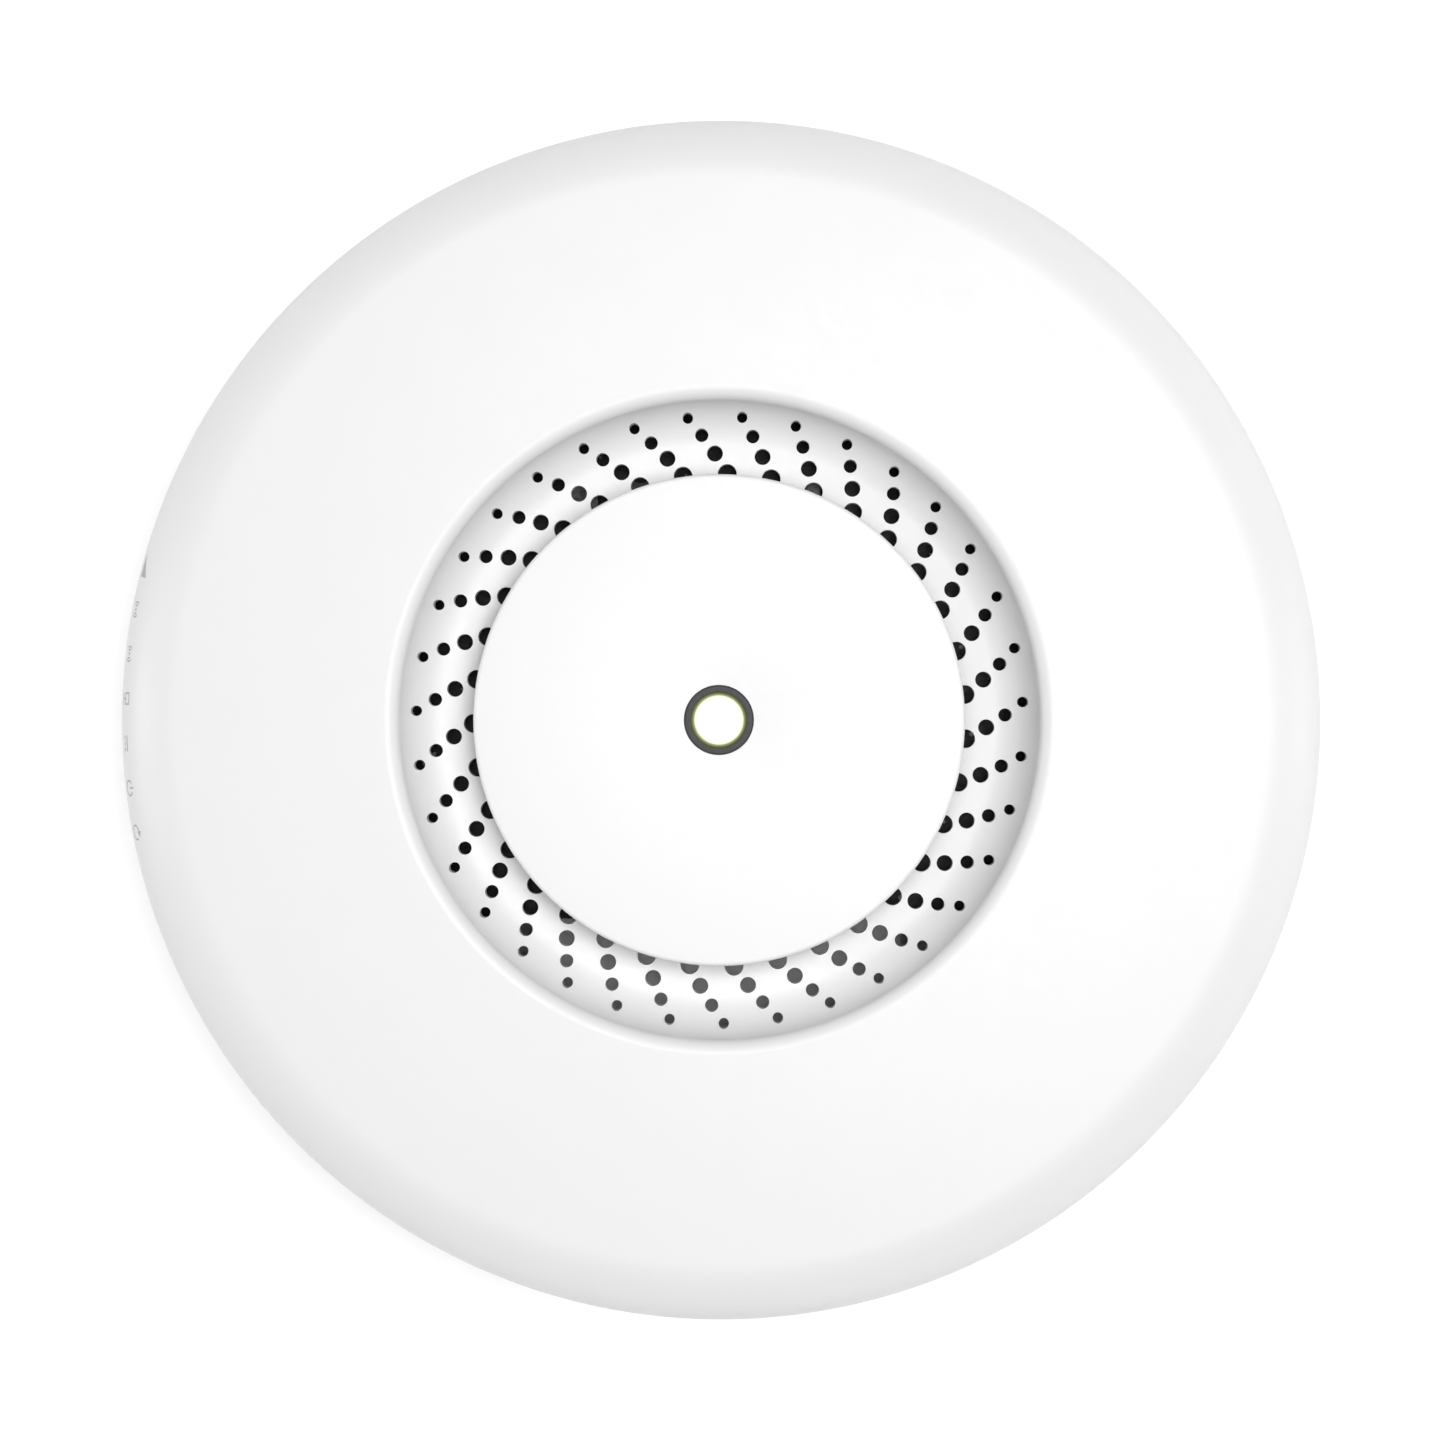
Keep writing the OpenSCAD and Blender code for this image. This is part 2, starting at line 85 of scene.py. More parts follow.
# Vents: the outermost row, how each further row changes, and how that change itself grows
VENT_SPOKES = 35
VENT_ROWS = 4
VENT_R = 47.75
VENT_R_STEP = 2.62
VENT_R_BEND = 0.1
VENT_PHASE = 3.4                               # degrees, as are its step and bend
VENT_PHASE_STEP = 2.3
VENT_PHASE_BEND = 0.095
VENT_D = 1.65
VENT_D_STEP = 0.44

# Centre disc on its hub, held by three snap legs
DISC_T = 2.0
DISC_ROUND = 0.6
HUB_R = 15.0
HUB_BORE_R = 13.0
LEG_ANGLES = (30, 150, 270)
LEG_HALF = 12                                  # half angle
LEG_IN_R = 10.4
LEG_OUT_R = 11.8
CATCH_TIP_R = 11.6
CATCH_R = 12.8
CATCH_H = 1.6
ARM_R = 13.2
ARM_T = 1.2

# Lamp ring and lens
BEZEL_R = 5.35
BEZEL_GAP = 0.08
BEZEL_BACK_Z = 38.0
LENS_BACK_Z = 38.6
LENS_CROWN = 16.0                              # radius of the lens's face
LENS_DIP = 0.3
LENS_EDGE = 0.12

# Status lights: direction of the middle one, angle between them, height
LIGHTS_MID = 177.93
LIGHTS_PITCH = 4.33
LIGHTS_Z = 26.6
LIGHT_HOLE_R = 0.8
BUTTON = 6                                     # the place after the six lights
BUTTON_HOLE_R = 1.75
HOLES_FROM = 88.2
HOLES_DEPTH = 10.0

# Screw bosses of the cover
BOSS_AT = 39.6
BOSS_R = 3.6
BOSS_Z = 10.4
BOSS_TOP = 40.0
BORE_R = 1.5
BORE_DEPTH = 12.0
CORNERS = [(x * BOSS_AT, y * BOSS_AT) for x in (-1, 1) for y in (-1, 1)]

TURN = 420                                     # facets round the large turned meshes
LAMP_TURN = 128                                # facets round the lamp's ring and lens
FINE = 48                                      # facets round bosses and screw holes
PAST = 1.0                                     # how far a cutter reaches past the solid
BEYOND = 100.0                                 # a distance from the axis that is outside the case
TALL = 30.0                                    # a height above everything in the base shell
ON_SURFACE = 0.05                              # how far off a surface a point still counts as on it

BOWL_R = EDGE_Z - REAR_Z
BOWL_C = (CASE_R - BOWL_R, EDGE_Z)
EDGE_C = (CASE_R - EDGE_R, EDGE_Z)
DOME_C = (0.0, EDGE_Z - math.sqrt((DOME_R - EDGE_R) ** 2 - EDGE_C[0] ** 2))
LIP_C = (LIP_R, DOME_C[1] + math.sqrt((DOME_R - LIP_ROUND) ** 2 - LIP_R ** 2))
STEEP = math.radians(WALL_SLOPE)
GENTLE = math.radians(FLOOR_SLOPE)
COVE_C = (LIP_C[0] - (LIP_ROUND + COVE_R) * math.sin(STEEP),
          LIP_C[1] + (LIP_ROUND + COVE_R) * math.cos(STEEP))


def polar(radius, degrees):
    a = math.radians(degrees)
    return radius * math.cos(a), radius * math.sin(a)


def vent_hole(row, spoke):
    """Centre (x, y) and radius of one vent. Each row is turned further than the last."""
    radius = VENT_R - VENT_R_STEP * row - VENT_R_BEND * row * row
    phase = VENT_PHASE - VENT_PHASE_STEP * row - VENT_PHASE_BEND * row * row
    return polar(radius, spoke * 360 / VENT_SPOKES + phase), (VENT_D + VENT_D_STEP * row) / 2


def light_direction(i):
    """Direction of status light i in radians. The reset button comes after the last light."""
    return math.radians(LIGHTS_MID + (i - 3) * LIGHTS_PITCH)


# ---- mesh tools -------------------------------------------------------------------------------

def arc(centre, radius, start, end, steps):
    """Points of an arc in a plane such as (radius, height), angles in degrees from its first axis."""
    points = []
    for i in range(steps + 1):
        a = math.radians(start + (end - start) * i / steps)
        points.append((centre[0] + radius * math.cos(a), centre[1] + radius * math.sin(a)))
    return points


def line(a, b, steps):
    """Points after a, up to b."""
    return [(a[0] + (b[0] - a[0]) * i / steps, a[1] + (b[1] - a[1]) * i / steps)
            for i in range(1, steps + 1)]


def mesh_object(name, verts, faces):
    """A smooth-shaded mesh from millimetre points, with its faces turned outward."""
    mesh = bpy.data.meshes.new(name)
    mesh.from_pydata([Vector(v) * MM for v in verts], [], faces)
    bm = bmesh.new()
    bm.from_mesh(mesh)
    bmesh.ops.recalc_face_normals(bm, faces=bm.faces)
    bm.to_mesh(mesh)
    bm.free()
    mesh.polygons.foreach_set("use_smooth", [True] * len(mesh.polygons))
    obj = bpy.data.objects.new(name, mesh)
    bpy.context.scene.collection.objects.link(obj)
    return obj


def joined(name, parts):
    """One mesh object from several (vertices, faces) pairs that don't overlap."""
    verts, faces = [], []
    for part_verts, part_faces in parts:
        start = len(verts)
        verts += part_verts
        faces += [[start + i for i in face] for face in part_faces]
    return mesh_object(name, verts, faces)


def turned(name, outline, turn=TURN):
    """A closed outline in the (radius, height) plane, turned round Z. The axis is one point."""
    verts, rings = [], []
    for r, z in outline:
        if r < 1e-6:
            rings.append([len(verts)] * turn)
            verts.append((0.0, 0.0, z))
            continue
        rings.append(list(range(len(verts), len(verts) + turn)))
        for i in range(turn):
            a = 2 * math.pi * i / turn
            verts.append((r * math.cos(a), r * math.sin(a), z))
    faces = []
    for a, b in zip(rings, rings[1:] + rings[:1]):
        if a[0] == a[1] and b[0] == b[1]:
            continue
        for i in range(turn):
            j = (i + 1) % turn
            faces.append(list(dict.fromkeys([a[i], a[j], b[j], b[i]])))
    return mesh_object(name, verts, faces)


def prism(polygon, low, high):
    """Vertices and faces of an upright prism on a polygon of (x, y) points."""
    count = len(polygon)
    verts = [(x, y, z) for z in (low, high) for x, y in polygon]
    faces = [[i, (i + 1) % count, count + (i + 1) % count, count + i] for i in range(count)]
    faces += [list(range(count))[::-1], list(range(count, 2 * count))]
    return verts, faces


def moved(part, matrix):
    return [tuple(matrix @ Vector(v)) for v in part[0]], part[1]


def bar(x, y, width, height):
    """Rectangle round a centre."""
    return [(x - width / 2, y - height / 2), (x + width / 2, y - height / 2),
            (x + width / 2, y + height / 2), (x - width / 2, y + height / 2)]


def circle(radius, sides=32):
    return [(radius * math.cos(2 * math.pi * i / sides), radius * math.sin(2 * math.pi * i / sides))
            for i in range(sides)]


def rod(radius, low, high, at=(0, 0), sides=32):
    """An upright rod at (x, y)."""
    return moved(prism(circle(radius, sides), low, high), Matrix.Translation((*at, 0)))


def radial_rod(radius, direction, start, end, height, sides=32):
    """A rod that points outward from the axis."""
    matrix = Matrix.Rotation(direction, 4, "Z") @ Matrix.Translation((0, 0, height))
    outward = matrix @ Matrix.Rotation(math.pi / 2, 4, "Y")
    return moved(prism(circle(radius, sides), start, end), outward)


def combine(obj, other, operation):
    """Boolean of two closed meshes. The other object is deleted."""
    modifier = obj.modifiers.new("combine", "BOOLEAN")
    modifier.operation = operation
    modifier.solver = "MANIFOLD"
    modifier.object = other
    graph = bpy.context.evaluated_depsgraph_get()
    mesh = bpy.data.meshes.new_from_object(obj.evaluated_get(graph))
    obj.modifiers.clear()
    obj.data = mesh
    bpy.data.objects.remove(other)


def add(obj, *parts):
    combine(obj, joined("added", parts), "UNION")


def cut(obj, *parts):
    combine(obj, joined("cut", parts), "DIFFERENCE")


def shade(obj, surface_normal=None, sharp_angle=30):
    """Smooths by angle. Where a face lies on a known surface, its corners get that surface's
    exact normals, so the holes cut into it leave no dents in the shading."""
    mesh = obj.data
    limit = math.cos(math.radians(sharp_angle))
    bm = bmesh.new()
    bm.from_mesh(mesh)
    for edge in bm.edges:
        pair = edge.link_faces
        edge.smooth = len(pair) == 2 and pair[0].normal.dot(pair[1].normal) > limit
    bm.to_mesh(mesh)
    bm.free()
    mesh.polygons.foreach_set("use_smooth", [True] * len(mesh.polygons))
    if surface_normal is None:
        return
    near = 0.9                                 # cosine between a face and the surface under it
    exact = [surface_normal(v.co / MM) for v in mesh.vertices]
    normals = [Vector((0, 0, 0))] * len(mesh.loops)
    for face in mesh.polygons:
        for index in face.loop_indices:
            normal = exact[mesh.loops[index].vertex_index]
            if normal is not None and normal.dot(face.normal) > near:
                normals[index] = normal
    mesh.normals_split_custom_set(normals)


# ---- top cover --------------------------------------------------------------------------------

def edge_tangent(t):
    """Radius where the edge rounding meets the dome, t mm below the surface."""
    return EDGE_C[0] * (DOME_R - t) / (DOME_R - EDGE_R)


def lip_tangent(t):
    return LIP_R * (DOME_R - t) / (DOME_R - LIP_ROUND)


def cove_foot(t):
    """Where the cove meets the sloping floor."""
    return (COVE_C[0] + (COVE_R + t) * math.sin(GENTLE), COVE_C[1] - (COVE_R + t) * math.cos(GENTLE))


def cover_skin(t, low):
    """The cover's outline from height low to the centre hole, t mm below its surface. The hidden
    inside, with t above 0, has fewer points."""
    foot = cove_foot(t)
    seat_r = foot[0] - (foot[1] - SEAT_Z + t) / math.tan(GENTLE)
    seam = -math.degrees(math.asin((EDGE_Z - low) / (BOWL_R - t)))
    brow = math.degrees(math.acos(EDGE_C[0] / (DOME_R - EDGE_R)))
    crest = math.degrees(math.acos(LIP_R / (DOME_R - LIP_ROUND)))
    steps = 1 if t == 0 else 2
    points = arc(BOWL_C, BOWL_R - t, seam, 0, 4)
    points += arc(EDGE_C, EDGE_R - t, 0, brow, 44 // steps)[1:]
    for r, _ in line((edge_tangent(t), 0), (lip_tangent(t), 0), 12 // steps):
        points.append((r, DOME_C[1] + math.sqrt((DOME_R - t) ** 2 - r * r)))
    points += arc(LIP_C, LIP_ROUND - t, crest, 90 + WALL_SLOPE, 24 // steps)[1:]
    points += arc(COVE_C, COVE_R + t, WALL_SLOPE - 90, FLOOR_SLOPE - 90, 24 // steps)[1:]
    points += line(points[-1], (seat_r, SEAT_Z - t), 12 // steps)
    points += line(points[-1], (HUB_HOLE_R, SEAT_Z - t), 2)
    return points


def cover_normal(point):
    """Outward direction of the cover's face at a point on it, or None off it."""
    r, z = math.hypot(point.x, point.y), point.z
    foot = cove_foot(0)
    if z <= EDGE_Z:
        centre, radius, sign = BOWL_C, BOWL_R, 1
    elif r >= edge_tangent(0):
        centre, radius, sign = EDGE_C, EDGE_R, 1
    elif r >= lip_tangent(0):
        centre, radius, sign = DOME_C, DOME_R, 1
    elif r >= COVE_C[0] + COVE_R * math.sin(STEEP):
        centre, radius, sign = LIP_C, LIP_ROUND, 1
    elif r >= foot[0]:
        centre, radius, sign = COVE_C, COVE_R, -1
    else:
        height = foot[1] - (foot[0] - r) * math.tan(GENTLE)
        if abs(z - height) > ON_SURFACE or r < 1:
            return None
        return Vector((-math.sin(GENTLE) * point.x / r, -math.sin(GENTLE) * point.y / r,
                       math.cos(GENTLE)))
    out, up = r - centre[0], z - centre[1]
    length = math.hypot(out, up)
    if abs(length - radius) > ON_SURFACE or r < 1:
        return None
    out, up = sign * out / length, sign * up / length
    return Vector((out * point.x / r, out * point.y / r, up))


def make_top_cover():
    skin = cover_skin(0, SEAM_TOP + SEAM_CHAMFER)
    skin.insert(0, (skin[0][0] - SEAM_CHAMFER, SEAM_TOP))
    cover = turned("top_cover_shell", skin + cover_skin(WALL, SEAM_TOP)[::-1])
    add(cover, *[rod(BOSS_R, BOSS_Z, BOSS_TOP, at, FINE) for at in CORNERS])
    cuts = [rod(BORE_R, BOSS_Z - PAST, BOSS_Z + BORE_DEPTH, at) for at in CORNERS]
    for row in range(VENT_ROWS):
        for spoke in range(VENT_SPOKES):
            at, hole = vent_hole(row, spoke)
            cuts.append(rod(hole, SEAT_Z - WALL, CASE_H + 2 * PAST, at, 36))
    for i in range(BUTTON + 1):
        hole = BUTTON_HOLE_R if i == BUTTON else LIGHT_HOLE_R
        end = HOLES_FROM + HOLES_DEPTH
        cuts.append(radial_rod(hole, light_direction(i), HOLES_FROM, end, LIGHTS_Z))
    cut(cover, *cuts)
    shade(cover, cover_normal)
    return cover


# ---- centre -----------------------------------------------------------------------------------

def rounded_outline(corners, steps=6):
    """Closed outline from (radius, height, rounding) corners."""
    points = []
    for i, (r, z, radius) in enumerate(corners):
        if radius == 0:
            points.append((r, z))
            continue
        corner = Vector((r, z))
        before = (Vector(corners[i - 1][:2]) - corner).normalized()
        after = (Vector(corners[(i + 1) % len(corners)][:2]) - corner).normalized()
        half = before.angle(after) / 2
        centre = corner + (before + after).normalized() * radius / math.sin(half)
        start = corner + before * radius / math.tan(half) - centre
        end = corner + after * radius / math.tan(half) - centre
        turn = math.atan2(start.x * end.y - start.y * end.x, start.dot(end))
        points += [tuple(centre + Matrix.Rotation(turn * k / steps, 2) @ start)
                   for k in range(steps + 1)]
    return points


def turned_sector(outline, start, end, steps):
    """Vertices and faces of an outline turned through part of a circle, angles in degrees."""
    count = len(outline)
    verts = []
    for i in range(steps + 1):
        a = math.radians(start + (end - start) * i / steps)
        verts += [(r * math.cos(a), r * math.sin(a), z) for r, z in outline]
    faces = [[i * count + j, i * count + (j + 1) % count,
              (i + 1) * count + (j + 1) % count, (i + 1) * count + j]
             for i in range(steps) for j in range(count)]
    faces += [list(range(count))[::-1], list(range(steps * count, (steps + 1) * count))]
    return verts, faces


def make_centre_disc():
    under = CASE_H - DISC_T
    hole = BEZEL_R + BEZEL_GAP
    disc = turned("centre_disc_shell", rounded_outline([
        (hole, under, 0), (hole, CASE_H, 0.12), (DISC_R, CASE_H, DISC_ROUND),
        (DISC_R, under, 0.25), (HUB_R, under, 0.3), (HUB_R, SEAT_Z, 0), (HUB_BORE_R, SEAT_Z, 0),
        (HUB_BORE_R, under, 0)]))
    catch = SEAT_Z - WALL - 0.1
    arm = SEAT_Z + ARM_T
    leg = [(LEG_IN_R, catch - CATCH_H), (CATCH_TIP_R, catch - CATCH_H), (CATCH_R, catch),
           (LEG_OUT_R, catch), (LEG_OUT_R, arm), (ARM_R, arm), (ARM_R, SEAT_Z + 2 * ARM_T),
           (LEG_IN_R, SEAT_Z + 2 * ARM_T)]
    add(disc, *[turned_sector(leg, a - LEG_HALF, a + LEG_HALF, 8) for a in LEG_ANGLES])
    shade(disc)
    return disc


def make_bezel():
    bore = LENS_R + 0.03
    under = CASE_H - DISC_T
    bezel = turned("lamp_bezel", rounded_outline([
        (bore, BEZEL_BACK_Z, 0), (FLANGE_R, BEZEL_BACK_Z, 0), (FLANGE_R, under, 0),
        (BEZEL_R, under, 0), (BEZEL_R, CASE_H, 0.18), (bore + 0.5, CASE_H, 0.12),
        (bore, CASE_H - 0.6, 0)]), LAMP_TURN)
    shade(bezel, sharp_angle=40)
    return bezel


def make_lens():
    steps = 12
    centre = CASE_H - LENS_DIP - LENS_CROWN
    rim = LENS_R - LENS_EDGE
    shoulder = centre + math.sqrt(LENS_CROWN ** 2 - LENS_R ** 2) - 0.1
    outline = [(0, LENS_BACK_Z), (LENS_R, LENS_BACK_Z), (LENS_R, shoulder)]
    outline += [(r, centre + math.sqrt(LENS_CROWN ** 2 - r * r))
                for r in [rim * (steps - i) / steps for i in range(steps + 1)]]
    lens = turned("lamp_lens", outline, LAMP_TURN)
    shade(lens, sharp_angle=40)
    return lens


# ---- base shell, mounting plate and reset button ----------------------------------------------

SEAM_LOW = 23.75
RECESS_R = 61.0
RECESS_Z = 5.4
FLOOR_Z = RECESS_Z + WALL
TONGUE = (91.0, 92.6, 21.0, 25.2)              # inner and outer radius, low and high end

# Cable bay and its way out of the side
BAY_X = 27.0
BAY_NEAR = -30.0
BAY_FAR = -72.0
BAY_ROOF = 19.2
BAY_WALL = 2.0
EXIT_X = 8.0
EXIT_Z = 9.0
SOCKETS_X = (-16.0, 2.0)
SOCKET_HALF = 8.3
JACK_X = (13.0, 23.0)
JACK_DEPTH = 11.3

# Bayonet: lugs of the plate in keyhole slots of the base, angles in degrees
LUG_ANGLES = (95, 215, 335)
LUG_R = 48.0
LUG_HALF = 3                                   # half angle of a lug
LUG_STEM = 1.7                                 # half widths of a lug's stem and head
LUG_HEAD = 3.5
LUG_HOOK_Z = 8.0
LUG_TOP_Z = 9.4
TWIST = 12
SLOT_HALF = 3.8                                # half angle of a slot's stretch
SLOT_W = 4.4
KEYHOLE_W = 8.0

BOARD_Z = 21.5
BOARD_SCREWS = ((-22.1, 35.3), (30, 58), (60, 22), (-60, 22), (60, -20), (-60, -20))
STANDOFF_R = 3.2
BOARD_SCREW_R = 1.2
BOARD_SCREW_DEPTH = 10.0
BASE_BOSS_R = 5.0
CASE_SCREW_R = 1.7
COUNTERBORE_R = 3.2
COUNTERBORE_DEPTH = 2.4
ROOTED = 0.5                                   # how deep a boss or standoff starts in the floor

# Air slots in the back, and ejector marks left by the mould
AIR_SLOT = (70.0, 79.0, 0.9)                   # inner and outer end, half width
AIR_SLOT_PHASE = 2.5
AIR_SLOTS = range(-5, 23)                      # the spokes that are clear of the cable bay
MARK_R = 2.5
BASE_MARKS_R = 57.0
BASE_MARK_DEPTH = 0.15
MARKS_Y = -25.0                                # marks stay above it, clear of the cable bay


def block(low, high):
    return prism([(low[0], low[1]), (high[0], low[1]), (high[0], high[1]), (low[0], high[1])],
                 low[2], high[2])


def bowl_arc(radius, low, high, steps):
    """Stretch of the bowl's rounding between two heights, from high to low."""
    angles = [math.degrees(math.asin((z - EDGE_Z) / radius)) for z in (high, low)]
    return arc(BOWL_C, radius, angles[0], angles[1], steps)


def make_bay():
    """Walls and roof round the cable bay, kept inside the shell's own wall. Known fault: below
    RECESS_Z they reach into the mounting plate's recess and through the plate. The CAD has them
    cut back there, and this mesh doesn't."""
    inner = BOWL_R - 0.8
    low, high = EDGE_Z - inner, BAY_ROOF + BAY_WALL
    bowl = turned("bowl", [(0, low)] + bowl_arc(inner, low, high, 30)[::-1] + [(0, high)])
    bay = joined("bay", [block((-BAY_X - BAY_WALL, BAY_FAR - BAY_WALL, 0),
                               (BAY_X + BAY_WALL, BAY_NEAR + BAY_WALL, TALL))])
    add(bay, block((-EXIT_X - BAY_WALL, -BEYOND, 0),
                   (EXIT_X + BAY_WALL, BAY_FAR - PAST, EXIT_Z + BAY_WALL)))
    combine(bay, bowl, "INTERSECT")
    return bay


def slot_sectors(width, start, end):
    """Cutters for one width of the three keyhole slots, between two angles from each lug."""
    outline = bar(LUG_R, (RECESS_Z + FLOOR_Z) / 2, width, WALL + 2 * PAST)
    return [turned_sector(outline, a + start, a + end, 20) for a in LUG_ANGLES]


def cut_bay(base):
    """The cable bay's inside, its way out, and the windows that the sockets look through."""
    through = 0.1
    window_y = (BAY_NEAR - through, BAY_NEAR + BAY_WALL + through)
    cut(base, block((-BAY_X, BAY_FAR, -PAST), (BAY_X, BAY_NEAR, BAY_ROOF)))
    cut(base, block((-EXIT_X, -BEYOND, -PAST), (EXIT_X, BAY_FAR + through, EXIT_Z)))
    windows = [block((x - SOCKET_HALF, window_y[0], FLOOR_Z), (x + SOCKET_HALF, window_y[1], TALL))
               for x in SOCKETS_X]
    windows.append(block((JACK_X[0], window_y[0], BOARD_Z - JACK_DEPTH),
                         (JACK_X[1], window_y[1], TALL)))
    cut(base, *windows)


def air_slots():
    start, end, half = AIR_SLOT
    slot = block((start, -half, -PAST), (end, half, 8))
    angles = [math.radians(i * 360 / VENT_SPOKES + AIR_SLOT_PHASE) for i in AIR_SLOTS]
    return [moved(slot, Matrix.Rotation(a, 4, "Z")) for a in angles]


def make_base_shell():
    inner = BOWL_R - WALL
    outer = bowl_arc(BOWL_R, REAR_Z, SEAM_LOW - SEAM_CHAMFER, 44)
    outline = [(outer[0][0] - SEAM_CHAMFER, SEAM_LOW)] + outer
    outline += arc((RECESS_R + 0.6, REAR_Z + 0.6), 0.6, -90, -180, 6)
    outline += [(RECESS_R, RECESS_Z), (0, RECESS_Z), (0, FLOOR_Z), (RECESS_R + WALL, FLOOR_Z)]
    outline += [(RECESS_R + WALL, EDGE_Z - inner)]
    outline += bowl_arc(inner, EDGE_Z - inner, SEAM_LOW, 24)[::-1]
    base = turned("base_shell_body", outline)
    tongue_in, tongue_out, tongue_low, tongue_high = TONGUE
    tongue = [(tongue_in, tongue_low), (tongue_out, tongue_low), (tongue_out, tongue_high),
              (tongue_in, tongue_high)]
    gap = [math.degrees(light_direction(i)) for i in (0, BUTTON)]
    add(base, turned_sector(tongue, gap[1] + 2, gap[0] - 2 + 360, 330))
    combine(base, make_bay(), "UNION")
    add(base, *[rod(STANDOFF_R, FLOOR_Z - ROOTED, BOARD_Z, at) for at in BOARD_SCREWS])
    add(base, *[rod(BASE_BOSS_R, FLOOR_Z - ROOTED, BOSS_Z, at, FINE) for at in CORNERS])
    cut_bay(base)
    cut(base, *slot_sectors(SLOT_W, -TWIST - SLOT_HALF, SLOT_HALF))
    cut(base, *slot_sectors(KEYHOLE_W, -TWIST - SLOT_HALF, SLOT_HALF - TWIST))
    cut(base, *air_slots())
    low = BOARD_Z - BOARD_SCREW_DEPTH
    cut(base, *[rod(BOARD_SCREW_R, low, BOARD_Z + PAST, at) for at in BOARD_SCREWS])
    head = RECESS_Z + COUNTERBORE_DEPTH
    cut(base, *[rod(COUNTERBORE_R, RECESS_Z - PAST, head, at) for at in CORNERS])
    cut(base, *[rod(CASE_SCREW_R, RECESS_Z, BOSS_Z + PAST, at) for at in CORNERS])
    marks = [polar(BASE_MARKS_R, a) for a in range(0, 360, 40)]
    clear = [at for at in marks if at[1] > MARKS_Y]
    cut(base, *[rod(MARK_R, RECESS_Z - PAST, RECESS_Z + BASE_MARK_DEPTH, at) for at in clear])
    shade(base)
    return base


PLATE_R = 58.0
PLATE_T = 2.4
RIM_Z = 4.4
RIM_IN_R = 56.0
PLATE_ROUND = 0.5
WINDOW_X = 16.0                                # centres of the window's round corners
WINDOW_Y = (-28.0, -48.0)
WINDOW_ROUND = 4.0
SCREW_CIRCLE_R = 40.0
SCREW_HOLE_R = 2.25
FINGER_ANGLE = 155
FINGER = (32.0, 51.8, 4.0)                     # root, tip and half width of the detent finger
FINGER_GAP = 1.2
PLATE_MARK_DEPTH = 0.12


def plate_back_normal(point):
    """Exact direction of the plate's flat back, so the holes in it leave no streaks."""
    flat_r = PLATE_R - PLATE_ROUND
    if point.z > 0.001 or math.hypot(point.x, point.y) > flat_r + 0.02:
        return None
    return Vector((0, 0, -1))


def plate_window():
    outline = []
    for x, y, start in ((1, 0, 0), (-1, 0, 90), (-1, 1, 180), (1, 1, 270)):
        outline += arc((x * WINDOW_X, WINDOW_Y[y]), WINDOW_ROUND, start, start + 90, 8)
    return outline


def finger_slot():
    """Slot round three sides of the detent finger."""
    root, tip, half = FINGER
    end, side = tip + FINGER_GAP, half + FINGER_GAP
    return [(root, -side), (end, -side), (end, side), (root, side), (root, half), (tip, half),
            (tip, -half), (root, -half)]


def make_mounting_plate():
    plate = turned("mounting_plate_body", rounded_outline([
        (0, 0, 0), (PLATE_R, 0, PLATE_ROUND), (PLATE_R, RIM_Z, PLATE_ROUND), (RIM_IN_R, RIM_Z, 0.4),
        (RIM_IN_R, PLATE_T, PLATE_ROUND), (0, PLATE_T, 0)]))
    stem_in, stem_out = LUG_R - LUG_STEM, LUG_R + LUG_STEM
    head_in, head_out = LUG_R - LUG_HEAD, LUG_R + LUG_HEAD
    lug = [(stem_in, 1), (stem_out, 1), (stem_out, LUG_HOOK_Z), (head_out, LUG_HOOK_Z),
           (head_out, LUG_TOP_Z), (head_in, LUG_TOP_Z), (head_in, LUG_HOOK_Z), (stem_in, LUG_HOOK_Z)]
    add(plate, *[turned_sector(lug, a - LUG_HALF, a + LUG_HALF, 12) for a in LUG_ANGLES])
    spring = Matrix.Rotation(math.radians(FINGER_ANGLE), 4, "Z")
    bump = turned("bump", rounded_outline([(0, 1, 0), (2.3, 1, 0), (1, 5.2, 0.6), (0, 5.2, 0)]), FINE)
    bump.data.transform(spring @ Matrix.Translation((LUG_R * MM, 0, 0)))
    combine(plate, bump, "UNION")
    cut(plate, prism(plate_window(), -PAST, 4))
    screws = [polar(SCREW_CIRCLE_R, a) for a in (45, 135, 225, 315)]
    cut(plate, *[rod(SCREW_HOLE_R, -PAST, 4, at, FINE) for at in screws])
    cut(plate, moved(prism(finger_slot(), -PAST, 4), spring))
    marks = [polar(20, a) for a in (0, 90, 180)] + [polar(52, a) for a in (15, 65, 125, 185, 350)]
    cut(plate, *[rod(MARK_R, -PAST, PLATE_MARK_DEPTH, at) for at in marks])
    shade(plate, plate_back_normal)
    return plate


def make_reset_button():
    """A stem with a flange behind the cover, turned upright and then laid along its direction."""
    stem, flange, tip = 1.5, 2.2, 95.0
    flange_back, flange_front = 92.0, 92.9
    button = turned("reset_button_cap", rounded_outline([
        (0, HOLES_FROM, 0), (stem, HOLES_FROM, 0.2), (stem, flange_back, 0),
        (flange, flange_back, 0.1), (flange, flange_front, 0.1), (stem, flange_front, 0),
        (stem, tip, 0.35), (0, tip, 0)]), 64)
    button.data.transform(Matrix.Translation((0, 0, LIGHTS_Z * MM))
                          @ Matrix.Rotation(light_direction(BUTTON), 4, "Z")
                          @ Matrix.Rotation(math.pi / 2, 4, "Y"))
    shade(button)
    return button


# ---- icons ------------------------------------------------------------------------------------
# Each icon is drawn flat as overlapping polygons, x along the reading direction and y towards the
# face, in mm. They are fused, sliced, and bent on to the rounded edge of the cover.

